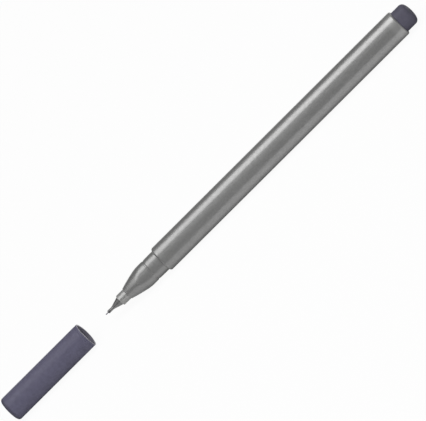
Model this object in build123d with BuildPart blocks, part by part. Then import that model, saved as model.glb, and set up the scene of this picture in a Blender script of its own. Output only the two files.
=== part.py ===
"""A fineliner pen with a soft-triangular barrel, lying on one flat face with its cap pulled off in line.

The pen's axis runs along X, with the nib towards -X and the tail towards +X, and Z is up. The origin is
the middle of the flat face that the barrel lies on. A station is a distance along the axis, measured from
the nib's point towards the tail, so the cap, which lies beyond the point, has stations below zero.
"""

import math
import os

from build123d import *

# Barrel
barrel_across = 10.15  # over two corners, seen square on to a flat
barrel_corner_r = 3.95
barrel_length = 116.0
barrel_wall = 0.95
barrel_front_round = 0.75
barrel_rear_round = 0.75

# Nose section
seat_lap = 0.16  # how far the shoulders of nose and tail plug reach over the barrel's end faces
nose_straight = 7.05
ogive_length = 9.6
ogive_bulge = 0.17  # how far the ogive swells over its chord
ogive_rise = 0.1  # how far the ogive's end stands over the corners of the straight part
nose_lip = 0.22  # ring of the nose's front face round the neck
nose_spigot = 9.0
spigot_wall = 0.9  # at the flats, in the nose and in the tail plug
ring_groove_inset = 5.2  # from the barrel's shoulder
ring_groove_width = 0.6
ring_groove_depth = 0.2

# Tip carrier
neck_r = 2.12
neck_length = 3.4
neck_front_round = 0.2
neck_lap = 0.4  # how far the neck stands out over its shank
shank_length = 9.0
shank_end_gap = 0.8
breather_width = 0.5
breather_depth = 0.35
breather_mouth = 0.4

# Metal tip sleeve
tube_exposed = 2.2
tube_wall = 0.36
cone_length = 3.65
cone_inset = 0.42  # ring of the neck's front face round the cone
stub_length = 3.4
stub_wall = 0.35
stub_end_gap = 0.2
feed_stop = 0.9  # from the neck's front face to the step in the sleeve's bore

# Nib
nib_exposed = 1.2
nib_tip_r = 0.13
nib_taper = 0.4
needle_r = 0.2
feed_r = 0.5
feed_stop_gap = 0.1
nib_bite = 7.5  # how far the feed rod reaches into the reservoir
nib_end_gap = 0.3

# Ink reservoir
reservoir_gap = 0.08  # between its film and the barrel's bore
reservoir_end_gap = 0.2
film_wall = 0.15

# Tail plug
plug_reach = 5.45
plug_dome = 0.25
plug_round = 1.6
plug_spigot = 7.0
plug_end_wall = 1.6

# Cap
cap_gap = 9.63  # from the cap's mouth to the nib's point, as the cap lies
cap_seat_gap = 0.1  # left at the barrel's shoulder when the cap is on
cap_end_room = 10.81  # from the nib's point to the cap's outer end when the cap is on
cap_fit = 0.06  # running clearance on the nose
cap_side_wall = 0.46  # at the corners, measured across
cap_end_wall = 1.6
cap_dome = 0.5
cap_end_round = 0.8
cap_mouth_round = 0.22
cap_lead_in = 0.15
mouth_round_share = 0.55  # most that the mouth's round takes of the wall at the corners
lead_in_share = 0.37  # most that the lead-in takes of it
cap_corner_share = 0.98  # most that a corner radius of the cap takes of the distance to its flats
lip_groove_inset = 1.15  # from the mouth
lip_groove_width = 0.35
lip_groove_depth = 0.1

# Cap liner
seal_gap = 0.08  # between the liner's mouth and the ogive when the cap is on
liner_gap = 0.3  # between the liner and the flats of the cap's bore
liner_wall = 0.8
liner_end_wall = 1.2
flange_thickness = 2.0

# Shared clearances
press_gap = 0.02
overrun = 1.0  # how far a cut runs past the face that it opens

# A triangle drawn with a side down has its first corner straight up
corner_up = 90

# Half a side of the triangle over the distance from its middle to the side
half_side_share = math.sqrt(3)


def flat_distance(across, corner_r):
    """Distance from the axis to the flats of a soft triangle of that width and corner radius."""
    return corner_r + (across / 2 - corner_r) / half_side_share


def corner_reach(flat, corner_r):
    """Distance from the axis to the rounded corners of a soft triangle."""
    return 2 * flat - corner_r


# Soft-triangular outlines, from the barrel's skin inwards
barrel_flat = flat_distance(barrel_across, barrel_corner_r)
axis_height = barrel_flat
bore_flat = barrel_flat - barrel_wall
bore_corner_r = barrel_corner_r - barrel_wall
spigot_flat = bore_flat - press_gap
spigot_corner_r = bore_corner_r - press_gap
nose_flat = bore_flat + seat_lap
nose_corner_r = bore_corner_r + seat_lap
nose_reach = corner_reach(nose_flat, nose_corner_r)
cap_bore_flat = nose_flat + cap_fit
cap_bore_corner_r = nose_corner_r + cap_fit

# The cap's flats are flush with the barrel's, and its corners are rounder
cap_half = half_side_share * (nose_flat - nose_corner_r) + cap_bore_corner_r + cap_side_wall
cap_corner_r = min(
    (half_side_share * barrel_flat - cap_half) / (half_side_share - 1), barrel_flat * cap_corner_share
)
cap_reach = corner_reach(barrel_flat, cap_corner_r)
cap_corner_wall = cap_reach - corner_reach(cap_bore_flat, cap_bore_corner_r)

# Round sizes
nose_front_r = neck_r + nose_lip
shank_r = neck_r - neck_lap
shank_hole_r = shank_r + press_gap
cavity_r = spigot_flat - spigot_wall
needle_hole_r = needle_r + press_gap
tube_r = needle_hole_r + tube_wall
cone_base_r = neck_r - cone_inset
feed_hole_r = feed_r + press_gap
stub_r = feed_hole_r + stub_wall
stub_hole_r = stub_r + press_gap
sheath_r = bore_flat - reservoir_gap
core_r = sheath_r - film_wall - press_gap
liner_r = cap_bore_flat - liner_gap
liner_hole_r = liner_r - liner_wall

# Stations of the pen
cone_start = nib_exposed + tube_exposed
neck_front = cone_start + cone_length
nose_front = neck_front + neck_length
ogive_end = nose_front + ogive_length
barrel_front = ogive_end + nose_straight
barrel_rear = barrel_front + barrel_length
tail_end = barrel_rear + plug_reach
barrel_middle = (barrel_front + barrel_rear) / 2
shank_end = nose_front + shank_length
nose_rear = barrel_front + nose_spigot
stub_end = neck_front + stub_length
bore_step = neck_front - feed_stop
core_front = nose_rear + reservoir_end_gap
core_rear = barrel_rear - plug_spigot - reservoir_end_gap
nib_rear = core_front + nib_bite

# Stations of the cap, as it lies off the pen
cap_mouth = -cap_gap
cap_travel = barrel_front - cap_seat_gap + cap_gap
cap_end = -cap_end_room - cap_travel
cap_length = cap_mouth - cap_end
cap_floor = cap_end + cap_end_wall

# The liner's mouth stops where the ogive of the seated nose is as wide as the liner's hole
ogive_slope = (nose_reach + ogive_rise - nose_front_r) / ogive_length
seal_lap = (liner_hole_r - seal_gap - ogive_bulge - nose_front_r) / ogive_slope
liner_mouth = nose_front - cap_travel + seal_lap

# Planes and axis
pen_axis = Axis((0, 0, axis_height), (1, 0, 0))
along_axis = Plane(origin=(-barrel_middle, 0, axis_height), x_dir=(1, 0, 0), z_dir=(0, -1, 0))


def across_axis(station):
    """Plane square to the axis at a station, looking from the tail."""
    return Plane(origin=(station - barrel_middle, 0, axis_height), x_dir=(0, 1, 0), z_dir=(1, 0, 0))


def soft_triangle(flat, corner_r, mode=Mode.ADD):
    """Puts a triangle with a flat side down and rounded corners into the sketch in hand."""
    with BuildSketch(mode=Mode.PRIVATE) as outline:
        RegularPolygon(flat, side_count=3, major_radius=False, rotation=corner_up)
        fillet(outline.vertices(), corner_r)
    add(outline.sketch_local, mode=mode)


def soft_prism(station, length, flat, corner_r, mode=Mode.ADD):
    """Extrudes a soft triangle from a station towards the tail, in the part in hand."""
    with BuildSketch(across_axis(station)) as outline:
        soft_triangle(flat, corner_r)
    extrude(outline.sketch, amount=length, mode=mode)


def ring_groove(station, width, flat, corner_r, depth):
    """Cuts a shallow groove round a soft prism."""
    with BuildSketch(across_axis(station)) as ring:
        soft_triangle(flat + overrun, corner_r + overrun)
        soft_triangle(flat - depth, corner_r - depth, mode=Mode.SUBTRACT)
    extrude(ring.sketch, amount=width, mode=Mode.SUBTRACT)


def turn(*corners, mode=Mode.ADD):
    """Revolves a closed outline of (station, radius) corners about the pen's axis."""
    with BuildSketch(along_axis) as profile:
        with BuildLine():
            Polyline(*corners, close=True)
        make_face()
    revolve(profile.sketch, axis=pen_axis, mode=mode)


def dome(end, inner, reach, rise):
    """Keeps what lies under a shallow dome whose top is at station end, back to station inner."""
    outer_r = reach + overrun
    sink = rise * (outer_r / reach) ** 2
    shoulder = end - math.copysign(sink, end - inner)
    with BuildSketch(along_axis) as profile:
        with BuildLine():
            TangentArc((end, 0), (shoulder, outer_r), tangent=(0, 1))
            Polyline((shoulder, outer_r), (inner, outer_r), (inner, 0), (end, 0))
        make_face()
    revolve(profile.sketch, axis=pen_axis, mode=Mode.INTERSECT)


# Barrel: a moulded tube of even wall
with BuildPart() as barrel:
    soft_prism(barrel_front, barrel_length, barrel_flat, barrel_corner_r)
    fillet(barrel.faces().sort_by(Axis.X)[0].edges(), barrel_front_round)
    fillet(barrel.faces().sort_by(Axis.X)[-1].edges(), barrel_rear_round)
    soft_prism(barrel_front, barrel_length, bore_flat, bore_corner_r, mode=Mode.SUBTRACT)

# Nose section: soft-triangular where the cap slides, an ogive in front, a spigot in the barrel
with BuildPart() as nose_section:
    soft_prism(nose_front, barrel_front - nose_front, nose_flat, nose_corner_r)
    ogive_end_r = nose_reach + ogive_rise
    ogive_middle = (nose_front + ogive_end) / 2
    ogive_middle_r = (nose_front_r + ogive_end_r) / 2 + ogive_bulge
    envelope_r = ogive_end_r + overrun
    with BuildSketch(along_axis):
        with BuildLine():
            ThreePointArc((nose_front, nose_front_r), (ogive_middle, ogive_middle_r), (ogive_end, ogive_end_r))
            Polyline(
                (ogive_end, ogive_end_r),
                (ogive_end, envelope_r),
                (barrel_front, envelope_r),
                (barrel_front, 0),
                (nose_front, 0),
                (nose_front, nose_front_r),
            )
        make_face()
    revolve(axis=pen_axis, mode=Mode.INTERSECT)
    ring_groove(
        barrel_front - ring_groove_inset, ring_groove_width, nose_flat, nose_corner_r, ring_groove_depth
    )
    soft_prism(barrel_front, nose_spigot, spigot_flat, spigot_corner_r)
    with Locations(across_axis(nose_rear)):
        CounterBoreHole(shank_hole_r, cavity_r, nose_rear - shank_end - shank_end_gap)

# Tip carrier: the neck in front of the nose, with a shank pressed into it and a breather slot below
with BuildPart() as tip_carrier:
    stub_floor = stub_end + stub_end_gap
    turn(
        (neck_front, stub_hole_r),
        (neck_front, neck_r),
        (nose_front, neck_r),
        (nose_front, shank_r),
        (shank_end, shank_r),
        (shank_end, feed_hole_r),
        (stub_floor, feed_hole_r),
        (stub_floor, stub_hole_r),
    )
    neck_rim = tip_carrier.faces().sort_by(Axis.X)[0].edges().sort_by(SortBy.RADIUS)[-1]
    fillet(neck_rim, neck_front_round)
    slot_height = neck_lap + breather_depth + overrun
    with BuildSketch(across_axis(nose_front - breather_mouth)):
        with Locations((0, -(shank_r - breather_depth) - slot_height / 2)):
            Rectangle(breather_width, slot_height)
    extrude(amount=breather_mouth + shank_length, mode=Mode.SUBTRACT)

# Metal tip sleeve: a fine tube, a cone and a stub pressed into the carrier
with BuildPart() as tip_sleeve:
    turn(
        (nib_exposed, needle_hole_r),
        (nib_exposed, tube_r),
        (cone_start, tube_r),
        (neck_front, cone_base_r),
        (neck_front, stub_r),
        (stub_end, stub_r),
        (stub_end, feed_hole_r),
        (bore_step, feed_hole_r),
        (bore_step, needle_hole_r),
    )
    tube_rim = tip_sleeve.faces().sort_by(Axis.X)[0].edges().sort_by(SortBy.RADIUS)[-1]
    fillet(tube_rim, tube_wall / 2)

# Nib: a fine point on a feed rod that runs back into the reservoir
with BuildPart() as nib:
    rod_front = bore_step + feed_stop_gap
    turn(
        (0, 0),
        (0, nib_tip_r),
        (nib_taper, needle_r),
        (rod_front, needle_r),
        (rod_front, feed_r),
        (nib_rear, feed_r),
        (nib_rear, 0),
    )
    fillet(nib.faces().sort_by(Axis.X)[0].edges(), nib_tip_r / 2)

# Reservoir core: a fibre rod with a socket for the feed rod
with BuildPart() as reservoir_core:
    socket_floor = nib_rear + nib_end_gap
    turn(
        (core_front, feed_hole_r),
        (core_front, core_r),
        (core_rear, core_r),
        (core_rear, 0),
        (socket_floor, 0),
        (socket_floor, feed_hole_r),
    )

# Reservoir sheath: a film rolled round the fibre rod
with BuildPart() as reservoir_sheath:
    with BuildSketch(across_axis(core_front)):
        Circle(sheath_r)
        Circle(sheath_r - film_wall, mode=Mode.SUBTRACT)
    extrude(amount=core_rear - core_front)

# Tail plug: a domed stopper, hollow from the inside
with BuildPart() as tail_plug:
    soft_prism(barrel_rear, plug_reach, nose_flat, nose_corner_r)
    dome(tail_end, barrel_rear, nose_reach, plug_dome)
    fillet(tail_plug.faces().sort_by(Axis.X)[-1].edges(), plug_round)
    soft_prism(barrel_rear - plug_spigot, plug_spigot, spigot_flat, spigot_corner_r)
    with Locations(across_axis(barrel_rear - plug_spigot)):
        Hole(cavity_r, depth=plug_spigot + plug_reach - plug_end_wall)

# Cap shell: slides over the nose up to the barrel's shoulder
with BuildPart() as cap_shell:
    soft_prism(cap_end, cap_length, barrel_flat, cap_corner_r)
    dome(cap_end, cap_mouth, cap_reach, cap_dome)
    fillet(cap_shell.faces().sort_by(Axis.X)[0].edges(), cap_end_round)
    mouth_round = min(cap_mouth_round, cap_corner_wall * mouth_round_share)
    fillet(cap_shell.faces().sort_by(Axis.X)[-1].edges(), mouth_round)
    ring_groove(
        cap_mouth - lip_groove_inset, lip_groove_width, barrel_flat, cap_corner_r, lip_groove_depth
    )
    soft_prism(cap_floor, cap_mouth - cap_floor, cap_bore_flat, cap_bore_corner_r, mode=Mode.SUBTRACT)
    mouth_rim = cap_shell.faces().sort_by(Axis.X)[-1].inner_wires()[0].edges()
    chamfer(mouth_rim, min(cap_lead_in, cap_corner_wall * lead_in_share))

# Cap liner: a thimble on a flange at the cap's floor, which closes round the nose's front
with BuildPart() as cap_liner:
    soft_prism(cap_floor, flange_thickness, cap_bore_flat - press_gap, cap_bore_corner_r - press_gap)
    turn((cap_floor, 0), (cap_floor, liner_r), (liner_mouth, liner_r), (liner_mouth, 0))
    with Locations(across_axis(liner_mouth)):
        Hole(liner_hole_r, depth=liner_mouth - cap_floor - liner_end_wall)

pieces = {
    "barrel": barrel,
    "nose_section": nose_section,
    "tip_carrier": tip_carrier,
    "tip_sleeve": tip_sleeve,
    "nib": nib,
    "reservoir_core": reservoir_core,
    "reservoir_sheath": reservoir_sheath,
    "tail_plug": tail_plug,
    "cap_shell": cap_shell,
    "cap_liner": cap_liner,
}

os.makedirs("parts", exist_ok=True)
for name, piece in pieces.items():
    piece.part.label = name
    export_step(piece.part, f"parts/{name}.step")

print(f"cap travel {cap_travel:.3f} mm, axis height {axis_height:.3f} mm, cap across {2 * cap_half:.3f} mm")
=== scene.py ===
import math

import bmesh
import bpy
import numpy as np
from bpy.props import FloatProperty, FloatVectorProperty, IntProperty, PointerProperty
from mathutils import Matrix, Vector


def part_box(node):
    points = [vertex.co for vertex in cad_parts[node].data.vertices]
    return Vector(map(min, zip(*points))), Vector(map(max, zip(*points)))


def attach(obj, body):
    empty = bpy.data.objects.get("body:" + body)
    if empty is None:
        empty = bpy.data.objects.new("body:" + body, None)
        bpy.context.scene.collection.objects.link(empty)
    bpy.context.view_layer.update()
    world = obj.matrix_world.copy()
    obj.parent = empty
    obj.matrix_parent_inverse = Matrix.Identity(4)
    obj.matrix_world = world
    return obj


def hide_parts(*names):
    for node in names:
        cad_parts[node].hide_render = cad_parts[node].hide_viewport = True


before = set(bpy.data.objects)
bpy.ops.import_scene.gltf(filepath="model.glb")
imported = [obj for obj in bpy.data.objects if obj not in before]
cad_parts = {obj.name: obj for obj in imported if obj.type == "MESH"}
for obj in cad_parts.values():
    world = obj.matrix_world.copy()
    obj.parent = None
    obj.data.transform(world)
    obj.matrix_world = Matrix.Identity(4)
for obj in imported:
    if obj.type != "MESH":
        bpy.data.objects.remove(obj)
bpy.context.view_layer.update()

bl_info = {
    "name": "Fineliner Pen",
    "version": (1, 0, 0),
    "blender": (4, 5, 0),
    "location": "View3D > Sidebar > Fineliner",
    "description": "Dresses the solids of a soft-triangular fineliner pen and lights them in a studio",
    "category": "Object",
}

MM = 0.001
SIDES = 3
SECTOR = 2 * math.pi / SIDES
QUARTER = math.pi / 2

# Steps on rounds and curves
ROUND_STEPS = 8
RIM_STEPS = 5
TUBE_RIM_STEPS = 4
POINT_STEPS = 6
OGIVE_STEPS = 48
GROOVE_STEPS = 30
FLOW_STEPS = 14
FLOOR_STEPS = 24

# The gate dimple and the nub in it: shares of their radius, and of the depth of the dimple
NUB_SHARES = ((0.6, 0.35), (0.9, 0.4), (1.0, 0.5), (1.12, 0.85), (1.3, 1.0))
DIMPLE_SHARES = ((0.8, 1.0), (0.9, 0.92), (0.96, 0.7), (1.0, 0.4), (1.05, 0.12), (1.12, 0.0))
DIMPLE_EDGE_SHARE = DIMPLE_SHARES[-1][0]
NUB_TOP_SHARE = NUB_SHARES[0][1]

# The colour sockets of a Mix node: its two inputs and its output
MIX_FROM, MIX_TO, MIXED = 6, 7, 2


def span(node):
    """Where a solid starts and ends along the pen's axis."""
    low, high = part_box(node)
    return low.x, high.x


def length(name, about, millimetres):
    """A size in metres, written in millimetres."""
    return FloatProperty(
        name=name, description=about, default=millimetres * MM, min=0.0, precision=5, unit="LENGTH"
    )


def place(name, about, metres):
    """A place along the pen's axis, in metres."""
    return FloatProperty(name=name, description=about, default=metres, precision=5, unit="LENGTH")


def angle(name, about, degrees):
    """An angle, written in degrees."""
    return FloatProperty(name=name, description=about, default=math.radians(degrees), subtype="ANGLE")


def shade(name, about, *rgb):
    """A colour, in linear light."""
    return FloatVectorProperty(
        name=name, description=about, default=rgb, min=0.0, max=1.0, size=3, subtype="COLOR"
    )


def share(name, about, value, high=1.0):
    """A plain number from 0 upwards."""
    return FloatProperty(name=name, description=about, default=value, min=0.0, max=high)


# Sizes, colours and studio


class PenSizes(bpy.types.PropertyGroup):
    """Sizes of the pen's pieces"""

    around: IntProperty(name="Steps around", description="Points round each piece", default=240, min=24)
    skin: length("Skin", "How far the dressed surface lies inside the solid's", 0.01)
    crown: length("Crown", "How far behind the axis the flats' slight curve has its middle", 10.0)
    axis: length("Axis height", "Height of the pen's axis over the floor", 4.5995)

    barrel_front: place("Barrel front", "Where the barrel starts", span("barrel")[0])
    barrel_rear: place("Barrel rear", "Where the barrel ends", span("barrel")[1])
    barrel_corner: length("Barrel corner", "Radius of the barrel's corners", 3.95)
    barrel_wall: length("Barrel wall", "Thickness of the barrel's wall", 0.95)
    barrel_front_round: length("Barrel front round", "Round on the barrel's front edge", 0.75)
    barrel_rear_round: length("Barrel rear round", "Round on the barrel's rear edge", 0.75)

    nose_front: place("Nose front", "Where the nose starts", span("nose_section")[0])
    nose_rear: place("Nose rear", "Where the nose's spigot ends", span("nose_section")[1])
    nose_flat: length("Nose flat", "From the axis to the flats of nose and tail plug", 3.8095)
    nose_corner: length("Nose corner", "Radius of the corners of nose and tail plug", 3.16)
    nose_front_radius: length("Nose front radius", "Radius of the nose's front face", 2.34)
    nose_front_round: length("Nose front round", "Round on the nose's front edge", 0.1)
    ogive: length("Ogive", "Length of the nose's tapered part", 9.6)
    ogive_bulge: length("Ogive bulge", "How far the taper swells over a cone", 0.17)
    ogive_end: length("Ogive end", "Radius at the thick end of the taper", 4.559)
    ogive_blend: length("Ogive blend", "How softly the taper runs into the flats", 0.22)
    nose_groove: length("Nose groove", "From the barrel's front to the ring groove's front", 5.2)
    groove_width: length("Groove width", "Width of the ring groove", 0.6)
    groove_depth: length("Groove depth", "Depth of the ring groove", 0.2)
    groove_ramp: length("Groove ramp", "How far the nose swells again behind the ring groove", 2.8)
    spigot_flat: length("Spigot flat", "From the axis to the flats of the spigots", 3.6295)
    spigot_corner: length("Spigot corner", "Radius of the spigots' corners", 2.98)
    cavity: length("Cavity", "Radius of the hollows in nose and tail plug", 2.7295)

    neck_front: place("Neck front", "Where the neck starts", span("tip_carrier")[0])
    shank_rear: place("Shank rear", "Where the neck's shank ends", span("tip_carrier")[1])
    neck: length("Neck", "Radius of the neck", 2.12)
    neck_round: length("Neck round", "Round on the neck's front edge", 0.2)
    shank: length("Shank", "Radius of the shank in the nose", 1.72)
    shank_gap: length("Shank gap", "Room round the shank and behind it", 0.02)
    shank_room: length("Shank room", "From the shank's end to the nose's cavity", 0.8)
    breather_width: length("Breather width", "Width of the breather slot", 0.5)
    breather_depth: length("Breather depth", "Depth of the breather slot in the shank", 0.35)
    breather_mouth: length("Breather mouth", "How far the breather slot shows in the neck", 0.4)

    tube_front: place("Tube front", "Where the steel tube starts", span("tip_sleeve")[0])
    stub_rear: place("Stub rear", "Where the steel tip's stub ends", span("tip_sleeve")[1])
    tube: length("Tube", "Radius of the steel tube", 0.58)
    tube_length: length("Tube length", "Length of the tube in front of the cone", 2.2)
    tube_round: length("Tube round", "Round on the tube's rim", 0.18)
    cone_base: length("Cone base", "Radius of the cone at the neck", 1.7)
    cone_flow: length("Cone flow", "How softly the tube runs into the cone", 0.5)
    stub: length("Stub", "Radius of the stub in the neck", 0.87)
    stub_room: length("Stub room", "From the stub's end to the floor of its hole", 0.2)
    bore_step: length("Bore step", "From the cone's base to the step in the steel tip's bore", 0.9)

    point: place("Point", "Where the writing point starts", span("nib")[0])
    feed_rear: place("Feed rear", "Where the feed rod ends", span("nib")[1])
    point_radius: length("Point radius", "Radius of the writing point's blunt end", 0.13)
    point_taper: length("Point taper", "Length of the writing point's taper", 0.4)
    needle: length("Needle", "Radius of the point in the tube", 0.2)
    feed: length("Feed", "Radius of the feed rod", 0.5)
    feed_gap: length("Feed gap", "From the step in the steel tip's bore to the feed rod", 0.1)
    press: length("Press gap", "Room round a pressed piece", 0.02)

    plug_front: place("Plug front", "Where the tail plug's spigot starts", span("tail_plug")[0])
    plug_rear: place("Plug rear", "Where the tail plug ends", span("tail_plug")[1])
    plug_dome: length("Plug dome", "Rise of the tail plug's end", 0.25)
    plug_round: length("Plug round", "Round on the tail plug's end", 1.6)
    plug_end: length("Plug end", "Thickness of the tail plug's end", 1.6)

    cap_end: place("Cap end", "Where the cap's closed end is", span("cap_shell")[0])
    cap_mouth: place("Cap mouth", "Where the cap's mouth is", span("cap_shell")[1])
    cap_corner: length("Cap corner", "Radius of the cap's corners", 4.3188)
    cap_bore_flat: length("Cap bore flat", "From the axis to the flats of the cap's bore", 3.8695)
    cap_bore_corner: length("Cap bore corner", "Radius of the corners of the cap's bore", 3.22)
    cap_floor: length("Cap floor", "Thickness of the cap's closed end", 1.6)
    cap_dome: length("Cap dome", "Rise of the cap's closed end", 0.5)
    cap_round: length("Cap round", "Round on the cap's closed end", 0.8)
    lip_round: length("Lip round", "Round on the cap's lip", 0.198)
    lead_in: length("Lead-in", "Chamfer inside the cap's mouth", 0.133)
    lip_groove: length("Lip groove", "From the cap's mouth to the groove's near edge", 0.8)
    lip_groove_width: length("Lip groove width", "Width of the groove round the cap", 0.35)
    lip_groove_depth: length("Lip groove depth", "Depth of the groove round the cap", 0.1)
    gate: length("Gate", "Radius of the dimple in the moulded ends", 0.85)
    gate_depth: length("Gate depth", "Depth of the dimple in the moulded ends", 0.16)
    gate_nub: length("Gate nub", "Radius of the nub in that dimple", 0.3)

    liner_rear: place("Liner mouth", "Where the cap's liner ends", span("cap_liner")[1])
    liner_front: place("Liner floor", "Where the cap's liner starts", span("cap_liner")[0])
    liner: length("Liner", "Outer radius of the liner", 3.5695)
    liner_wall: length("Liner wall", "Thickness of the liner's wall", 0.8)
    liner_floor: length("Liner end", "Thickness of the liner's end", 1.2)
    liner_round: length("Liner round", "Round on the liner's rim", 0.16)
    flange: length("Flange", "Thickness of the liner's flange", 2.0)


class PenColours(bpy.types.PropertyGroup):
    """Colours of the pen's finishes"""

    silver_dark: shade("Silver, dark", "Dark side of the silver plastic's fleck", 0.315, 0.315, 0.313)
    silver_light: shade("Silver, light", "Light side of the silver plastic's fleck", 0.375, 0.375, 0.372)
    silver_end: shade("Silver, end", "The silver plastic at the barrel's rear end", 0.4, 0.4, 0.396)
    # A darker tone of the silver, blended in from 40 mm behind the barrel's front to the nose's front
    silver_nose: shade(
        "Silver, nose", "The silver plastic towards the nose, dulled by handling", 0.27, 0.27, 0.268
    )
    indigo_dark: shade("Indigo, dark", "Dark side of the ink-coloured plastic", 0.106, 0.101, 0.158)
    indigo_light: shade("Indigo, light", "Light side of the ink-coloured plastic", 0.127, 0.122, 0.187)
    # Painted shade on the round edge of the cap's closed end
    indigo_painted_end_shade: shade(
        "Indigo, end", "The ink-coloured plastic on the edge of the cap's closed end", 0.05, 0.048, 0.074
    )
    # Painted highlight on the cap's lip and painted light inside its bore
    lip_bore_painted_light: shade("Worn", "Where the cap's lip and bore rub on the nose", 0.34, 0.33, 0.37)
    plug_dark: shade("Plug, dark", "Dark side of the tail plug's plastic", 0.09, 0.086, 0.119)
    plug_light: shade("Plug, light", "Light side of the tail plug's plastic", 0.108, 0.103, 0.141)
    neck_dark: shade("Neck, dark", "Dark side of the neck's plastic", 0.335, 0.335, 0.33)
    neck_light: shade("Neck, light", "Light side of the neck's plastic", 0.41, 0.41, 0.404)
    steel_dark: shade("Steel, dark", "Dark side of the drawn steel", 0.2, 0.2, 0.2)
    steel_light: shade("Steel, light", "Light side of the drawn steel", 0.3, 0.3, 0.3)
    steel_rim: shade("Steel, rim", "The drawn steel at the tube's end", 0.06, 0.06, 0.066)
    point_dark: shade("Point, dark", "Dark side of the stained point", 0.16, 0.155, 0.19)
    point_light: shade("Point, light", "Light side of the stained point", 0.32, 0.31, 0.35)
    ink_dark: shade("Ink, dark", "Dark fibres of the reservoir", 0.02, 0.018, 0.06)
    ink_light: shade("Ink, light", "Light fibres of the reservoir", 0.1, 0.09, 0.2)
    film_dark: shade("Film, dark", "Dark side of the clear film", 0.78, 0.8, 0.82)
    film_light: shade("Film, light", "Light side of the clear film", 0.9, 0.91, 0.92)
    milky_dark: shade("Milky, dark", "Dark side of the natural plastic", 0.66, 0.66, 0.62)
    milky_light: shade("Milky, light", "Light side of the natural plastic", 0.76, 0.76, 0.72)
    floor: shade("Floor", "Colour of the floor", 0.9, 0.9, 0.9)
    # Painted contact shadow on the floor under the barrel and the cap, seen only in reflections and
    # bounced light
    floor_painted_shadow: shade(
        "Floor, shaded", "Colour of the floor where the barrel and the cap touch it", 0.08, 0.08, 0.08
    )


class Studio(bpy.types.PropertyGroup):
    """The light, the floor and the camera"""

    key_power: share("Key power", "Power of the softbox overhead, in watts", 19.5, 100.0)
    key_tilt: angle("Key tilt", "Height of the softbox's middle over the horizon", 75.5)
    key_away: length("Key distance", "From the pen to the softbox", 1500)
    key_deep: length("Key depth", "Size of the softbox across the pen", 1480)
    key_long: length("Key length", "Size of the softbox along the pen", 2000)
    fill: share("Fill", "Brightness of the studio's walls", 0.2)
    zenith: share("Zenith", "Brightness of the studio's ceiling", 0.3)
    floor_white: share("Floor white", "How much of the floor's brightness needs no light", 0.94)
    floor_mirrored: share("Floor mirrored", "The same, where the floor shows in gloss and in glass", 0.2)
    floor_size: length("Floor size", "Side of the floor", 9000)
    # Size and run of the painted contact shadow on the floor
    contact: length("Contact", "How far to the sides the floor is darkest under barrel and cap", 3.5)
    contact_fade: length("Contact fade", "How far to the sides that shade ends", 7.2)
    contact_run: length("Contact run", "How far behind the cap's mouth it fades", 10)
    nose_run: length("Nose run", "How far in front of the barrel it fades, under the nose", 24)
    azimuth: angle("Azimuth", "The camera's place round the pen", 10.36)
    elevation: angle("Elevation", "The camera's height over the horizon", 29.59)
    slope: angle("Slope", "How steeply the pen rises in the picture", 44.89)
    aim: place("Aim", "The picture's middle, along the pen", -33.32 * MM)
    aim_side: place("Aim to the side", "The picture's middle, below the pen's axis", 0.595 * MM)
    width: length("Picture width", "How much the picture takes in at the pen", 145.4)
    lens: share("Lens", "Focal length in millimetres", 800.0, 1000.0)


def sizes():
    return bpy.context.scene.pen_sizes


def colours():
    return bpy.context.scene.pen_colours


def studio():
    return bpy.context.scene.pen_studio


# Outlines and lofts


def directions():
    """Angles round the axis, from the upper corner on."""
    count = sizes().around
    return QUARTER + np.arange(count) * (2 * math.pi / count)


def off_corner():
    """Angle to the nearest corner of a soft triangle, all the way round."""
    return np.abs((directions() - QUARTER + SECTOR / 2) % SECTOR - SECTOR / 2)


def soft(flat, corner, inset=0.0):
    """Distance from the axis to a soft triangle, all the way round."""
    flat, corner = flat - inset, corner - inset
    off = off_corner()
    turn = SECTOR / 2 - off
    middle = 2 * (flat - corner)
    reach = np.sqrt(np.maximum(corner**2 - (middle * np.sin(off)) ** 2, 0.0))
    on_flat = flat * np.tan(turn) <= math.sqrt(SIDES) * (flat - corner)
    return np.where(on_flat, flat / np.cos(turn), middle * np.cos(off) + reach)


def crowned(flat, corner, inset=0.0):
    """The same for one whose flats swell a little, from corner to corner inside that triangle."""
    back = sizes().crown
    reach = 2 * flat - corner
    off_arc = flat + back - reach
    middle = (off_arc**2 - back**2) / (back - 2 * off_arc)
    flat, rounding = flat - inset, reach - middle - inset
    off = off_corner()
    turn = SECTOR / 2 - off
    over, out = middle * math.sin(SECTOR / 2), middle * math.cos(SECTOR / 2)
    meet = math.atan2(over, out + back)
    limit = math.atan2(over + rounding * math.sin(meet), out + rounding * math.cos(meet))
    on_side = np.sqrt((flat + back) ** 2 - (back * np.sin(turn)) ** 2) - back * np.cos(turn)
    bend = np.sqrt(np.maximum(rounding**2 - (middle * np.sin(off)) ** 2, 0.0))
    return np.where(turn <= limit, on_side, middle * np.cos(off) + bend)


def disc(radius):
    """Distance from the axis to a circle, all the way round."""
    return np.full(sizes().around, radius)


def softly_least(first, second, blend):
    """The smaller of two distances, with the meeting of the two rounded off."""
    near = np.maximum(blend - np.abs(first - second), 0.0) / blend
    return np.minimum(first, second) - near**2 * blend / 4


def quarter(steps=ROUND_STEPS):
    """Shares of a quarter round: how far in from its end, and how far in from its side."""
    turns = np.linspace(0, QUARTER, steps + 1)
    return [(1 - math.cos(a), 1 - math.sin(a)) for a in turns]


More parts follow.
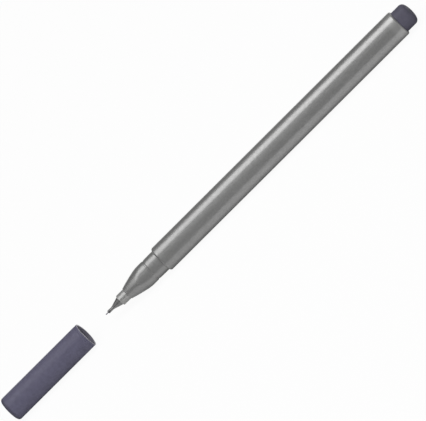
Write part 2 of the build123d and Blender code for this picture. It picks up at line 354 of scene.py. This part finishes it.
def with_holding_rings(rings, hold, step):
    """Adds rings close to the ends of each long run, and even ones between."""
    least_run = 3 * hold
    full = [rings[0]]
    for (x0, r0), (x1, r1) in zip(rings, rings[1:]):
        gap = float(np.max(np.hypot(np.asarray(x1) - x0, np.asarray(r1) - r0)))
        marks = []
        if gap > least_run:
            marks = [hold / gap]
            inner = max(1, int(gap / step))
            marks += [k / inner for k in range(1, inner) if hold < k / inner * gap < gap - hold]
            marks.append(1 - hold / gap)
        for m in marks:
            full.append((x0 + (x1 - x0) * m, r0 + (r1 - r0) * m))
        full.append((x1, r1))
    return full


def loft(name, rings, ring_shut=False, hold=0.05 * MM, step=3.0 * MM):
    """A smooth closed mesh through rings of (place, distances). A ring at distance 0 is one point."""
    if ring_shut:
        rings = rings + rings[:1]
    rings = with_holding_rings(rings, hold, step)
    if ring_shut:
        rings = rings[:-1]
    turns, axis = directions(), sizes().axis
    count = len(turns)
    points, rows = [], []
    for x, radius in rings:
        if np.ndim(radius) == 0:
            rows.append([len(points)] * count)
            points.append((x, 0.0, axis))
            continue
        xs = np.broadcast_to(x, count)
        ys, zs = radius * np.cos(turns), axis + radius * np.sin(turns)
        row = []
        for k, spot in enumerate(zip(xs.tolist(), ys.tolist(), zs.tolist())):
            # Where a ring lies on the one before it, they share their points
            if rows and points[rows[-1][k]] == spot:
                row.append(rows[-1][k])
            else:
                row.append(len(points))
                points.append(spot)
        rows.append(row)
    faces = []
    pairs = list(zip(rows, rows[1:])) + ([(rows[-1], rows[0])] if ring_shut else [])
    for a, b in pairs:
        for k in range(count):
            n = (k + 1) % count
            corner = list(dict.fromkeys((a[k], a[n], b[n], b[k])))
            if len(corner) > 2:
                faces.append(corner)
    mesh = bpy.data.meshes.new(name)
    mesh.from_pydata(points, [], faces)
    shaped = bmesh.new()
    shaped.from_mesh(mesh)
    bmesh.ops.recalc_face_normals(shaped, faces=shaped.faces)
    shaped.to_mesh(mesh)
    shaped.free()
    mesh.polygons.foreach_set("use_smooth", [True] * len(mesh.polygons))
    mesh.update()
    piece = bpy.data.objects.new(name, mesh)
    bpy.context.scene.collection.objects.link(piece)
    return piece


def dress(piece, node, body, material):
    """Puts a piece in its solid's place, on its body and in its finish."""
    piece.data.materials.append(material)
    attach(piece, body)
    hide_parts(node)


def moulded_end(end, inward, flat, corner, dome, round_by):
    """Rings of a domed end with a rounded edge and a gate dimple, from its middle to its side."""
    s = sizes()
    reach = 2 * flat - corner
    rim = crowned(flat, corner, round_by)

    def crown(radius):
        return end + inward * dome * (radius / reach) ** 2

    rings = [(end + inward * s.gate_depth * NUB_TOP_SHARE, 0.0)]
    for out, deep in NUB_SHARES:
        rings.append((end + inward * s.gate_depth * deep, disc(s.gate_nub * out)))
    for out, deep in DIMPLE_SHARES:
        radius = disc(s.gate * out)
        rings.append((crown(radius) + inward * s.gate_depth * deep, radius))
    for out in (0.25, 0.5, 0.75):
        radius = rim * out + disc(s.gate * DIMPLE_EDGE_SHARE) * (1 - out)
        rings.append((crown(radius), radius))
    for deep, inset in quarter():
        radius = crowned(flat, corner, round_by * inset)
        rings.append((crown(radius) + inward * round_by * deep, radius))
    return rings


# Finishes


class Finish:
    """A material in the making: its nodes, its shader and the pen's own coordinates."""

    def __init__(self, name):
        self.material = bpy.data.materials.new(name)
        self.material.use_nodes = True
        self.tree = self.material.node_tree
        self.tree.nodes.clear()
        self.out = self.add("ShaderNodeOutputMaterial")
        self.shader = self.add("ShaderNodeBsdfPrincipled")
        self.join(self.shader.outputs["BSDF"], self.out.inputs["Surface"])
        found = self.add("ShaderNodeTexCoord").outputs
        self.where, self.faces = found["Object"], found["Normal"]

    def add(self, kind, **values):
        """A new node with its settings."""
        node = self.tree.nodes.new(kind)
        for key, value in values.items():
            setattr(node, key, value)
        return node

    def join(self, source, target):
        self.tree.links.new(source, target)

    def set(self, **values):
        """Sets the shader's own sockets, by their names with _ for a space."""
        for key, value in values.items():
            self.shader.inputs[key.replace("_", " ")].default_value = value

    def stretched(self, along):
        """The pen's coordinates, with what lies along the axis drawn out."""
        drawn = self.add("ShaderNodeMapping")
        drawn.inputs["Scale"].default_value = (1 / along, 1, 1)
        self.join(self.where, drawn.inputs["Vector"])
        return drawn.outputs["Vector"]

    def grain(self, size, detail=3.0, along=1.0):
        """Noise of a given size in metres."""
        noise = self.add("ShaderNodeTexNoise")
        noise.inputs["Scale"].default_value = 1 / size
        noise.inputs["Detail"].default_value = detail
        self.join(self.stretched(along) if along != 1.0 else self.where, noise.inputs["Vector"])
        return noise.outputs["Fac"]

    def fleck(self, size):
        """Small grains, each with a brightness of its own."""
        cells = self.add("ShaderNodeTexVoronoi")
        cells.inputs["Scale"].default_value = 1 / size
        self.join(self.where, cells.inputs["Vector"])
        split = self.add("ShaderNodeSeparateColor")
        self.join(cells.outputs["Color"], split.inputs["Color"])
        return split.outputs["Red"]

    def coordinate(self, axis):
        """One of the pen's coordinates."""
        split = self.add("ShaderNodeSeparateXYZ")
        self.join(self.where, split.inputs["Vector"])
        return split.outputs[axis]

    def along_axis(self, start, end, first, last):
        """A value that changes from one place on the axis to another."""
        return self.spread(self.coordinate("X"), first, last, start, end)

    def spread(self, value, first, last, low=0.3, high=0.7):
        """A value mapped from its range, low to high, to first and last, and held there beyond it."""
        node = self.add("ShaderNodeMapRange")
        for key, number in zip(("From Min", "From Max", "To Min", "To Max"), (low, high, first, last)):
            node.inputs[key].default_value = number
        self.join(value, node.inputs["Value"])
        return node.outputs["Result"]

    def reckon(self, way, first, second):
        """Two values added, multiplied or the like. The second may be a plain number."""
        node = self.add("ShaderNodeMath", operation=way)
        self.join(first, node.inputs[0])
        if isinstance(second, (int, float)):
            node.inputs[1].default_value = second
        else:
            self.join(second, node.inputs[1])
        return node.outputs["Value"]

    def colour(self, value, dark, light, low=0.3, high=0.7):
        """Gives the shader a colour between two, by a value."""
        ramp = self.add("ShaderNodeValToRGB")
        for stop, place_at, rgb in zip(ramp.color_ramp.elements, (low, high), (dark, light)):
            stop.position = place_at
            stop.color = (*rgb, 1.0)
        self.join(value, ramp.inputs["Fac"])
        self.join(ramp.outputs["Color"], self.shader.inputs["Base Color"])

    def tint(self, much, rgb):
        """Turns the shader's colour towards another, by a value."""
        mix = self.add("ShaderNodeMix", data_type="RGBA")
        target = self.shader.inputs["Base Color"]
        source = target.links[0].from_socket
        self.join(much, mix.inputs["Factor"])
        self.join(source, mix.inputs[MIX_FROM])
        mix.inputs[MIX_TO].default_value = (*rgb, 1.0)
        self.join(mix.outputs[MIXED], target)

    def facing(self):
        """How far a surface faces along the axis, and how far away from the axis."""
        normal = self.add("ShaderNodeSeparateXYZ")
        self.join(self.faces, normal.inputs["Vector"])
        spoke = self.add("ShaderNodeVectorMath", operation="MULTIPLY_ADD")
        self.join(self.where, spoke.inputs[0])
        spoke.inputs[1].default_value = (0, 1, 1)
        spoke.inputs[2].default_value = (0, 0, -sizes().axis)
        unit = self.add("ShaderNodeVectorMath", operation="NORMALIZE")
        self.join(spoke.outputs["Vector"], unit.inputs[0])
        both = self.add("ShaderNodeVectorMath", operation="DOT_PRODUCT")
        self.join(unit.outputs["Vector"], both.inputs[0])
        self.join(self.faces, both.inputs[1])
        return normal.outputs["X"], both.outputs["Value"]

    def rough(self, value):
        """Gives the shader its roughness."""
        self.join(value, self.shader.inputs["Roughness"])

    def relief(self, height, depth):
        """Bumps of a given depth in metres."""
        bump = self.add("ShaderNodeBump")
        bump.inputs["Distance"].default_value = depth
        bump.inputs["Strength"].default_value = 1.0
        self.join(height, bump.inputs["Height"])
        self.join(bump.outputs["Normal"], self.shader.inputs["Normal"])


def finish(name, make):
    """A finish by name, made the first time it is asked for."""
    found = bpy.data.materials.get(name)
    if found is None:
        new = Finish(name)
        make(new)
        found = new.material
    return found


def silver_satin():
    """Silver-grey moulded plastic with a metallic fleck, darker towards the nose and lighter at the
    rear.
    """
    fleck_share = 0.4
    light_from, light_full = 4.2 * MM, 2.6 * MM
    nose_dark_run, nose_dark_share = 40 * MM, 0.5
    rough_front, rough_rear, rough_end = 0.38, 0.32, 0.04

    def make(f):
        c, s = colours(), sizes()
        cloud = f.reckon("MULTIPLY", f.grain(size=0.9 * MM), 1 - fleck_share)
        flecks = f.reckon("MULTIPLY", f.fleck(size=0.28 * MM), fleck_share)
        f.colour(f.reckon("ADD", flecks, cloud), c.silver_dark, c.silver_light)
        end = f.along_axis(s.barrel_rear - light_from, s.barrel_rear - light_full, 0.0, 1.0)
        f.tint(end, c.silver_end)
        # Darker towards the nose
        nose_dark = f.along_axis(s.nose_front, s.barrel_front + nose_dark_run, nose_dark_share, 0.0)
        f.tint(nose_dark, c.silver_nose)
        f.set(Metallic=0.7)
        gloss = f.along_axis(s.barrel_front, s.barrel_rear, rough_front, rough_rear)
        gloss = f.reckon("ADD", gloss, f.reckon("MULTIPLY", end, rough_end))
        scuffs = f.grain(size=0.25 * MM, detail=2.0, along=60.0)
        f.rough(f.reckon("ADD", gloss, f.spread(scuffs, low=0.55, high=0.75, first=0.0, last=0.07)))
        f.relief(f.grain(size=0.3 * MM, detail=2.0), depth=0.006 * MM)

    return finish("silver_satin", make)


def indigo_satin():
    """Dusty indigo moulded plastic, finely textured, smoother at the lip with a painted highlight on it,
    with painted light in the bore and painted shade round its closed end.
    """
    lip_from, lip_full, lip_smoother = 0.5 * MM, 0.3 * MM, 0.25
    end_shade_full, end_shade_fade, end_shade_share = 1.2 * MM, 1.9 * MM, 0.7
    bore_painted_light_share = 0.5

    def make(f):
        c, s = colours(), sizes()
        f.colour(f.grain(size=1.4 * MM, detail=4.0), c.indigo_dark, c.indigo_light)
        f.set(Specular_IOR_Level=0.35)
        f.relief(f.grain(size=0.22 * MM, detail=2.0), depth=0.008 * MM)
        along, away = f.facing()
        # Painted highlight on the lip's round, which is also made smoother
        lip = f.along_axis(s.cap_mouth - lip_from, s.cap_mouth - lip_full, 0.0, 1.0)
        lip = f.reckon("MULTIPLY", f.spread(along, low=0.1, high=0.5, first=0.0, last=1.0), lip)
        scuffs = f.grain(size=0.3 * MM, detail=2.0, along=40.0)
        scuffs = f.spread(scuffs, low=0.5, high=0.75, first=0.52, last=0.62)
        f.rough(f.reckon("SUBTRACT", scuffs, f.reckon("MULTIPLY", lip, lip_smoother)))
        f.tint(lip, c.lip_bore_painted_light)
        # Painted light on the faces inside the cap's bore
        f.tint(f.spread(away, low=-0.6, high=-0.1, first=bore_painted_light_share, last=0.0), c.lip_bore_painted_light)
        # Painted shade: a darker band round the cap's closed end, on its round and sides but not on its
        # end face
        edge = f.along_axis(s.cap_end + end_shade_full, s.cap_end + end_shade_fade, end_shade_share, 0.0)
        edge = f.reckon("MULTIPLY", f.spread(along, low=-0.98, high=-0.9, first=0.0, last=1.0), edge)
        f.tint(edge, c.indigo_painted_end_shade)

    return finish("indigo_satin", make)


def plug_satin():
    """The same plastic on the tail plug, darker, greyer and less glossy."""

    def make(f):
        c = colours()
        f.colour(f.grain(size=1.4 * MM, detail=4.0), c.plug_dark, c.plug_light)
        f.set(Specular_IOR_Level=0.25)
        scuffs = f.grain(size=0.3 * MM, detail=2.0, along=10.0)
        f.rough(f.spread(scuffs, low=0.5, high=0.75, first=0.6, last=0.7))
        f.relief(f.grain(size=0.22 * MM, detail=2.0), depth=0.008 * MM)

    return finish("plug_satin", make)


def neck_plastic():
    """Pale grey moulded plastic, smooth."""

    def make(f):
        c = colours()
        f.colour(f.grain(size=0.5 * MM), c.neck_dark, c.neck_light)
        f.set(Metallic=0.3)
        f.rough(f.spread(f.grain(size=0.4 * MM, along=4.0), first=0.2, last=0.3))
        f.relief(f.grain(size=0.25 * MM), depth=0.004 * MM)

    return finish("neck_plastic", make)


def drawn_steel():
    """Stainless steel with the fine rings that turning leaves, dark with ink at the tube's end."""
    ink_run, ink_share = 1.5 * MM, 0.85

    def make(f):
        c, s = colours(), sizes()
        rings = f.grain(size=0.05 * MM, detail=2.0, along=1.0 / 12)
        f.colour(rings, c.steel_dark, c.steel_light)
        f.tint(f.along_axis(s.tube_front, s.tube_front + ink_run, ink_share, 0.0), c.steel_rim)
        f.set(Metallic=1.0)
        f.rough(f.spread(rings, first=0.4, last=0.5))
        f.relief(rings, depth=0.004 * MM)

    return finish("drawn_steel", make)


def stained_point():
    """A drawn fibre point, grey with a little ink."""

    def make(f):
        c = colours()
        fibres = f.grain(size=0.06 * MM, along=8.0)
        f.colour(fibres, c.point_dark, c.point_light)
        f.rough(f.spread(fibres, first=0.5, last=0.7))
        f.relief(fibres, depth=0.01 * MM)

    return finish("stained_point", make)


def soaked_fibre():
    """A bundle of fibres full of ink."""

    def make(f):
        c = colours()
        fibres = f.grain(size=0.12 * MM, detail=4.0, along=30.0)
        f.colour(fibres, c.ink_dark, c.ink_light)
        f.rough(f.spread(fibres, first=0.7, last=0.9))
        f.relief(fibres, depth=0.05 * MM)

    return finish("soaked_fibre", make)


def clear_film():
    """A clear film with faint drawing lines."""

    def make(f):
        c = colours()
        lines = f.grain(size=0.4 * MM, detail=2.0, along=20.0)
        f.colour(lines, c.film_dark, c.film_light)
        f.set(Transmission_Weight=0.85, IOR=1.45)
        f.rough(f.spread(lines, first=0.08, last=0.2))
        f.relief(lines, depth=0.006 * MM)

    return finish("clear_film", make)


def milky_plastic():
    """Natural plastic, milky and a little waxy."""

    def make(f):
        c = colours()
        f.colour(f.grain(size=1.2 * MM), c.milky_dark, c.milky_light)
        f.set(Subsurface_Weight=0.2, Subsurface_Scale=0.6 * MM)
        f.rough(f.spread(f.grain(size=0.5 * MM, along=10.0), first=0.34, last=0.46))
        f.relief(f.grain(size=0.3 * MM), depth=0.005 * MM)

    return finish("milky_plastic", make)


# Pieces


class FINELINER_OT_barrel(bpy.types.Operator):
    """Makes the barrel, a soft-triangular tube with rounded ends"""

    bl_idname = "fineliner.barrel"
    bl_label = "Barrel"

    def execute(self, context):
        s = sizes()
        rings = []
        for deep, inset in quarter():
            outline = crowned(s.axis, s.barrel_corner, s.skin + s.barrel_front_round * inset)
            rings.append((s.barrel_front + s.barrel_front_round * deep, outline))
        for deep, inset in reversed(quarter()):
            outline = crowned(s.axis, s.barrel_corner, s.skin + s.barrel_rear_round * inset)
            rings.append((s.barrel_rear - s.barrel_rear_round * deep, outline))
        bore = soft(s.axis, s.barrel_corner, s.barrel_wall)
        rings += [(s.barrel_rear, bore), (s.barrel_front, bore)]
        tube = loft("barrel_body", rings, ring_shut=True)
        dress(tube, "barrel", "pen", silver_satin())
        return {"FINISHED"}


class FINELINER_OT_nose(bpy.types.Operator):
    """Makes the nose, whose flats run out into a round taper"""

    bl_idname = "fineliner.nose"
    bl_label = "Nose"

    def taper(self, x):
        """Radius of the taper: a flat arc over the straight line between its ends."""
        s = sizes()
        share_along = (x - s.nose_front) / s.ogive
        line = s.nose_front_radius + (s.ogive_end - s.nose_front_radius) * share_along
        return line + 4 * s.ogive_bulge * share_along * (1 - share_along)

    def execute(self, context):
        s = sizes()
        run_out_share, swell_share = 1.06, 0.3
        hole = disc(s.shank + s.shank_gap)
        triangle = crowned(s.nose_flat, s.nose_corner, s.skin)

        def outer(x):
            return softly_least(triangle, disc(self.taper(x) - s.skin), s.ogive_blend)

        rings = [(s.nose_front, hole)]
        edge = s.nose_front_round
        for deep, inset in quarter(RIM_STEPS):
            rings.append((s.nose_front + edge * deep, outer(s.nose_front + edge * deep) - edge * inset))
        end = s.nose_front + s.ogive * run_out_share
        for k in range(1, OGIVE_STEPS + 1):
            x = s.nose_front + edge + (end - s.nose_front - edge) * k / OGIVE_STEPS
            rings.append((x, outer(x)))
        wide = s.groove_width
        groove = s.barrel_front - s.nose_groove + wide / 2
        for off in np.linspace(-wide, s.groove_ramp, GROOVE_STEPS):
            notch = (1 + math.cos(math.pi * min(abs(off) / wide, 1.0))) / 2
            swell = swell_share * (1 - off / s.groove_ramp) if off > 0 else 0.0
            deep = s.groove_depth * max(notch, swell)
            rings.append((groove + off, crowned(s.nose_flat, s.nose_corner, s.skin + deep)))
        spigot = soft(s.spigot_flat, s.spigot_corner)
        cavity_floor = s.shank_rear + s.shank_room
        rings += [
            (s.barrel_front, triangle),
            (s.barrel_front, spigot),
            (s.nose_rear, spigot),
            (s.nose_rear, disc(s.cavity)),
            (cavity_floor, disc(s.cavity)),
            (cavity_floor, hole),
        ]
        nose = loft("nose_body", rings, ring_shut=True)
        dress(nose, "nose_section", "pen", silver_satin())
        return {"FINISHED"}


class FINELINER_OT_neck(bpy.types.Operator):
    """Makes the neck that carries the point, with its shank and breather slot"""

    bl_idname = "fineliner.neck"
    bl_label = "Neck"

    def slotted(self, radius):
        """A circle with the breather slot cut into its lower side."""
        s = sizes()
        across, up = np.cos(directions()), np.sin(directions())
        below = (np.abs(radius * across) < s.breather_width / 2) & (up < 0)
        slot_floor = (s.shank - s.breather_depth) / np.where(below, -up, 1.0)
        return np.where(below, slot_floor, radius)

    def execute(self, context):
        s = sizes()
        stub_hole, feed_hole = disc(s.stub + s.press), disc(s.feed + s.press)
        stub_floor = s.stub_rear + s.stub_room
        rings = [(s.neck_front, stub_hole)]
        for deep, inset in quarter(RIM_STEPS):
            rings.append((s.neck_front + s.neck_round * deep, disc(s.neck - s.neck_round * inset)))
        mouth = s.nose_front - s.breather_mouth
        rings += [
            (mouth, disc(s.neck)),
            (mouth, self.slotted(s.neck)),
            (s.nose_front, self.slotted(s.neck)),
            (s.nose_front, self.slotted(s.shank)),
            (s.shank_rear, self.slotted(s.shank)),
            (s.shank_rear, feed_hole),
            (stub_floor, feed_hole),
            (stub_floor, stub_hole),
        ]
        neck = loft("neck", rings, ring_shut=True)
        dress(neck, "tip_carrier", "pen", neck_plastic())
        return {"FINISHED"}


class FINELINER_OT_steel_tip(bpy.types.Operator):
    """Makes the steel tip, a fine tube that runs into a cone"""

    bl_idname = "fineliner.steel_tip"
    bl_label = "Steel tip"

    def execute(self, context):
        s = sizes()
        needle_hole, feed_hole = disc(s.needle + s.press), disc(s.feed + s.press)
        cone_start = s.tube_front + s.tube_length
        cone_length = s.neck_front - cone_start
        rise = (s.cone_base - s.tube) / cone_length
        rings = [(s.tube_front, needle_hole)]
        for deep, inset in quarter(TUBE_RIM_STEPS):
            rings.append((s.tube_front + s.tube_round * deep, disc(s.tube - s.tube_round * inset)))
        for k in range(FLOW_STEPS + 1):
            at = -s.cone_flow + 2 * s.cone_flow * k / FLOW_STEPS
            bend = rise * (at + s.cone_flow) ** 2 / (4 * s.cone_flow)
            rings.append((cone_start + at, disc(s.tube + bend)))
        step_at = s.neck_front - s.bore_step
        rings += [
            (s.neck_front, disc(s.cone_base)),
            (s.neck_front, disc(s.stub)),
            (s.stub_rear, disc(s.stub)),
            (s.stub_rear, feed_hole),
            (step_at, feed_hole),
            (step_at, needle_hole),
        ]
        tip = loft("steel_tip", rings, ring_shut=True, hold=0.02 * MM, step=0.4 * MM)
        dress(tip, "tip_sleeve", "pen", drawn_steel())
        return {"FINISHED"}


class FINELINER_OT_point(bpy.types.Operator):
    """Makes the writing point and the feed rod behind it"""

    bl_idname = "fineliner.point"
    bl_label = "Writing point"

    def execute(self, context):
        s = sizes()
        blunt_share = 0.6
        rod_front = s.neck_front - s.bore_step + s.feed_gap
        rings = [(s.point, 0.0)]
        for deep, inset in quarter(POINT_STEPS)[1:]:
            at = s.point + s.point_radius * blunt_share * deep
            rings.append((at, disc(s.point_radius * (1 - inset))))
        rings += [
            (s.point + s.point_taper, disc(s.needle)),
            (rod_front, disc(s.needle)),
            (rod_front, disc(s.feed)),
            (s.feed_rear, disc(s.feed)),
            (s.feed_rear, 0.0),
        ]
        point = loft("writing_point", rings, hold=0.02 * MM, step=1.0 * MM)
        dress(point, "nib", "pen", stained_point())
        return {"FINISHED"}


class FINELINER_OT_tail_plug(bpy.types.Operator):
    """Makes the tail plug, domed outside and hollow inside"""

    bl_idname = "fineliner.tail_plug"
    bl_label = "Tail plug"

    def execute(self, context):
        s = sizes()
        flat, corner = s.nose_flat - s.skin, s.nose_corner - s.skin
        rings = moulded_end(s.plug_rear, -1, flat, corner, s.plug_dome, s.plug_round)
        spigot = soft(s.spigot_flat, s.spigot_corner)
        rings += [
            (s.barrel_rear, crowned(flat, corner)),
            (s.barrel_rear, spigot),
            (s.plug_front, spigot),
            (s.plug_front, disc(s.cavity)),
            (s.plug_rear - s.plug_end, disc(s.cavity)),
            (s.plug_rear - s.plug_end, 0.0),
        ]
        dress(loft("tail_stopper", rings), "tail_plug", "pen", plug_satin())
        return {"FINISHED"}


class FINELINER_OT_cap(bpy.types.Operator):
    """Makes the cap, domed at one end and open at the other, with a groove near its lip"""

    bl_idname = "fineliner.cap"
    bl_label = "Cap"

    def execute(self, context):
        s = sizes()
        flat, corner = s.axis - s.skin, s.cap_corner - s.skin
        rings = moulded_end(s.cap_end, 1, flat, corner, s.cap_dome, s.cap_round)
        slope_share = 0.22
        wide = s.lip_groove_width
        groove, slope = s.cap_mouth - s.lip_groove - wide, wide * slope_share
        for at, deep in ((0, 0), (slope, 1), (wide - slope, 1), (wide, 0)):
            rings.append((groove + at, crowned(flat, corner, s.lip_groove_depth * deep)))
        for deep, inset in reversed(quarter(RIM_STEPS)):
            rings.append((s.cap_mouth - s.lip_round * deep, crowned(flat, corner, s.lip_round * inset)))
        bore = soft(s.cap_bore_flat, s.cap_bore_corner)
        floor_at = s.cap_end + s.cap_floor
        rings += [
            (s.cap_mouth, soft(s.cap_bore_flat, s.cap_bore_corner, -s.lead_in)),
            (s.cap_mouth - s.lead_in, bore),
            (floor_at, bore),
            (floor_at, 0.0),
        ]
        dress(loft("cap_body", rings), "cap_shell", "cap", indigo_satin())
        return {"FINISHED"}


class FINELINER_OT_liner(bpy.types.Operator):
    """Makes the cap's liner, a thimble on a flange"""

    bl_idname = "fineliner.liner"
    bl_label = "Cap liner"

    def execute(self, context):
        s = sizes()
        plate = soft(s.cap_bore_flat, s.cap_bore_corner, s.press)
        hole = s.liner - s.liner_wall
        rings = [
            (s.liner_front, 0.0),
            (s.liner_front, plate),
            (s.liner_front + s.flange, plate),
            (s.liner_front + s.flange, disc(s.liner)),
        ]
        for deep, inset in reversed(quarter(RIM_STEPS)):
            rings.append((s.liner_rear - s.liner_round * deep, disc(s.liner - s.liner_round * inset)))
        for deep, inset in quarter(RIM_STEPS):
            rings.append((s.liner_rear - s.liner_round * deep, disc(hole + s.liner_round * inset)))
        floor_at = s.liner_front + s.liner_floor
        rings += [(floor_at, disc(hole)), (floor_at, 0.0)]
        dress(loft("cap_thimble", rings), "cap_liner", "cap", milky_plastic())
        return {"FINISHED"}


class FINELINER_OT_reservoir(bpy.types.Operator):
    """Gives the ink reservoir's rod and film their finishes"""

    bl_idname = "fineliner.reservoir"
    bl_label = "Reservoir"

    def execute(self, context):
        for node, material in (("reservoir_core", soaked_fibre()), ("reservoir_sheath", clear_film())):
            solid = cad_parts[node]
            solid.data.materials.clear()
            solid.data.materials.append(material)
        return {"FINISHED"}


# Studio


class FINELINER_OT_stage(bpy.types.Operator):
    """Sets up the floor, the light and the camera"""

    bl_idname = "fineliner.stage"
    bl_label = "Studio"

    def floor(self):
        """White paper, with a painted contact shadow under the barrel and the cap for every ray but the
        camera's own.
        """
        t, s, c = studio(), sizes(), colours()
        mesh = bpy.data.meshes.new("paper_floor")
        shaped = bmesh.new()
        bmesh.ops.create_grid(
            shaped, x_segments=FLOOR_STEPS, y_segments=FLOOR_STEPS, size=t.floor_size / 2
        )
        shaped.to_mesh(mesh)
        shaped.free()
        floor = bpy.data.objects.new("paper_floor", mesh)
        bpy.context.scene.collection.objects.link(floor)
        paper = Finish("floor_paper")
        paper.set(Roughness=1.0, Specular_IOR_Level=0.0)
        # Painted contact shadow: darker floor along the pen's line under the barrel and the cap, hidden
        # from the camera's own rays
        beside = paper.reckon("ABSOLUTE", paper.coordinate("Y"), 0.0)
        beside = paper.spread(beside, first=1.0, last=0.0, low=t.contact, high=t.contact_fade)
        under_cap = paper.along_axis(s.cap_mouth - t.contact_run, s.cap_mouth, 1.0, 0.0)
        under_barrel = paper.along_axis(s.barrel_front - t.nose_run, s.barrel_front, 0.0, 1.0)
        under = paper.reckon("MULTIPLY", beside, paper.reckon("MAXIMUM", under_cap, under_barrel))
        rays = paper.add("ShaderNodeLightPath").outputs
        unseen = paper.reckon("SUBTRACT", under, rays["Is Camera Ray"])
        paper.colour(unseen, c.floor, c.floor_painted_shadow, low=0.0, high=1.0)
        seen = paper.reckon("MULTIPLY", rays["Is Camera Ray"], t.floor_white)
        for ray in ("Is Glossy Ray", "Is Transmission Ray"):
            seen = paper.reckon("ADD", paper.reckon("MULTIPLY", rays[ray], t.floor_mirrored), seen)
        white = paper.add("ShaderNodeEmission")
        mixed = paper.add("ShaderNodeMixShader")
        paper.join(seen, mixed.inputs["Fac"])
        paper.join(paper.shader.outputs["BSDF"], mixed.inputs[1])
        paper.join(white.outputs["Emission"], mixed.inputs[2])
        paper.join(mixed.outputs["Shader"], paper.out.inputs["Surface"])
        mesh.materials.append(paper.material)

    def softbox(self):
        """One large soft lamp overhead."""
        t = studio()
        lamp = bpy.data.lights.new("softbox", "AREA")
        lamp.shape = "RECTANGLE"
        lamp.size, lamp.size_y = t.key_long, t.key_deep
        lamp.energy = t.key_power
        box = bpy.data.objects.new("softbox", lamp)
        back = Vector((0.0, -math.cos(t.key_tilt), math.sin(t.key_tilt)))
        box.matrix_world = Matrix.Translation(back * t.key_away) @ self.turned(Vector((1, 0, 0)), back)
        box.visible_camera = False
        bpy.context.scene.collection.objects.link(box)

    def turned(self, right, back):
        """A rotation whose first axis is right and whose third is back."""
        up = back.cross(right)
        return Matrix((right, up, back)).transposed().to_4x4()

    def surroundings(self):
        """Dim walls and ceiling, white where they meet the floor."""
        t = studio()
        bands = ((0.06, 1.0), (0.1, t.fill), (0.6, t.fill), (1.0, t.zenith))
        world = bpy.data.worlds.new("studio_walls")
        bpy.context.scene.world = world
        world.use_nodes = True
        nodes, links = world.node_tree.nodes, world.node_tree.links
        nodes.clear()
        where = nodes.new("ShaderNodeTexCoord")
        split = nodes.new("ShaderNodeSeparateXYZ")
        links.new(where.outputs["Generated"], split.inputs["Vector"])
        ramp = nodes.new("ShaderNodeValToRGB")
        stops = ramp.color_ramp.elements
        while len(stops) < len(bands):
            stops.new(0.5)
        for stop, (height, value) in zip(stops, bands):
            stop.position = height
            stop.color = (value, value, value, 1.0)
        links.new(split.outputs["Z"], ramp.inputs["Fac"])
        walls = nodes.new("ShaderNodeBackground")
        links.new(ramp.outputs["Color"], walls.inputs["Color"])
        out = nodes.new("ShaderNodeOutputWorld")
        links.new(walls.outputs["Background"], out.inputs["Surface"])

    def camera(self):
        """A long lens, turned so that the pen rises across the picture."""
        t, s = studio(), sizes()
        a, e = t.azimuth, t.elevation
        back = Vector((math.sin(a) * math.cos(e), -math.cos(a) * math.cos(e), math.sin(e)))
        along = Vector((1, 0, 0))
        along = (along - back * along.dot(back)).normalized()
        over = back.cross(along)
        right = along * math.cos(t.slope) - over * math.sin(t.slope)
        data = bpy.data.cameras.new("camera")
        data.lens = t.lens
        away = t.width * t.lens / data.sensor_width
        aim = Vector((t.aim, 0, s.axis)) - over * t.aim_side
        camera = bpy.data.objects.new("camera", data)
        camera.matrix_world = Matrix.Translation(aim + back * away) @ self.turned(right, back)
        bpy.context.scene.collection.objects.link(camera)
        bpy.context.scene.camera = camera

    def execute(self, context):
        self.floor()
        self.softbox()
        self.surroundings()
        self.camera()
        context.scene.view_settings.view_transform = "Standard"
        return {"FINISHED"}


class FINELINER_PT_pieces(bpy.types.Panel):
    """Lists the pieces, the colours and the studio"""

    bl_label = "Fineliner Pen"
    bl_space_type = "VIEW_3D"
    bl_region_type = "UI"
    bl_category = "Fineliner"

    def draw(self, context):
        layout = self.layout
        for operator in OPERATORS:
            layout.operator(operator.bl_idname)
        for group in (sizes(), colours(), studio()):
            column = layout.column(align=True)
            for key in group.__annotations__:
                column.prop(group, key)


GROUPS = (PenSizes, PenColours, Studio)
OPERATORS = (
    FINELINER_OT_barrel,
    FINELINER_OT_nose,
    FINELINER_OT_neck,
    FINELINER_OT_steel_tip,
    FINELINER_OT_point,
    FINELINER_OT_tail_plug,
    FINELINER_OT_cap,
    FINELINER_OT_liner,
    FINELINER_OT_reservoir,
    FINELINER_OT_stage,
)


def register():
    for cls in (*GROUPS, *OPERATORS, FINELINER_PT_pieces):
        bpy.utils.register_class(cls)
    bpy.types.Scene.pen_sizes = PointerProperty(type=PenSizes)
    bpy.types.Scene.pen_colours = PointerProperty(type=PenColours)
    bpy.types.Scene.pen_studio = PointerProperty(type=Studio)


def unregister():
    for key in ("pen_sizes", "pen_colours", "pen_studio"):
        delattr(bpy.types.Scene, key)
    for cls in (FINELINER_PT_pieces, *reversed(OPERATORS), *reversed(GROUPS)):
        bpy.utils.unregister_class(cls)


def main():
    register()
    bpy.ops.fineliner.barrel()
    bpy.ops.fineliner.nose()
    bpy.ops.fineliner.neck()
    bpy.ops.fineliner.steel_tip()
    bpy.ops.fineliner.point()
    bpy.ops.fineliner.tail_plug()
    bpy.ops.fineliner.cap()
    bpy.ops.fineliner.liner()
    bpy.ops.fineliner.reservoir()
    bpy.ops.fineliner.stage()


if __name__ == "__main__":
    main()
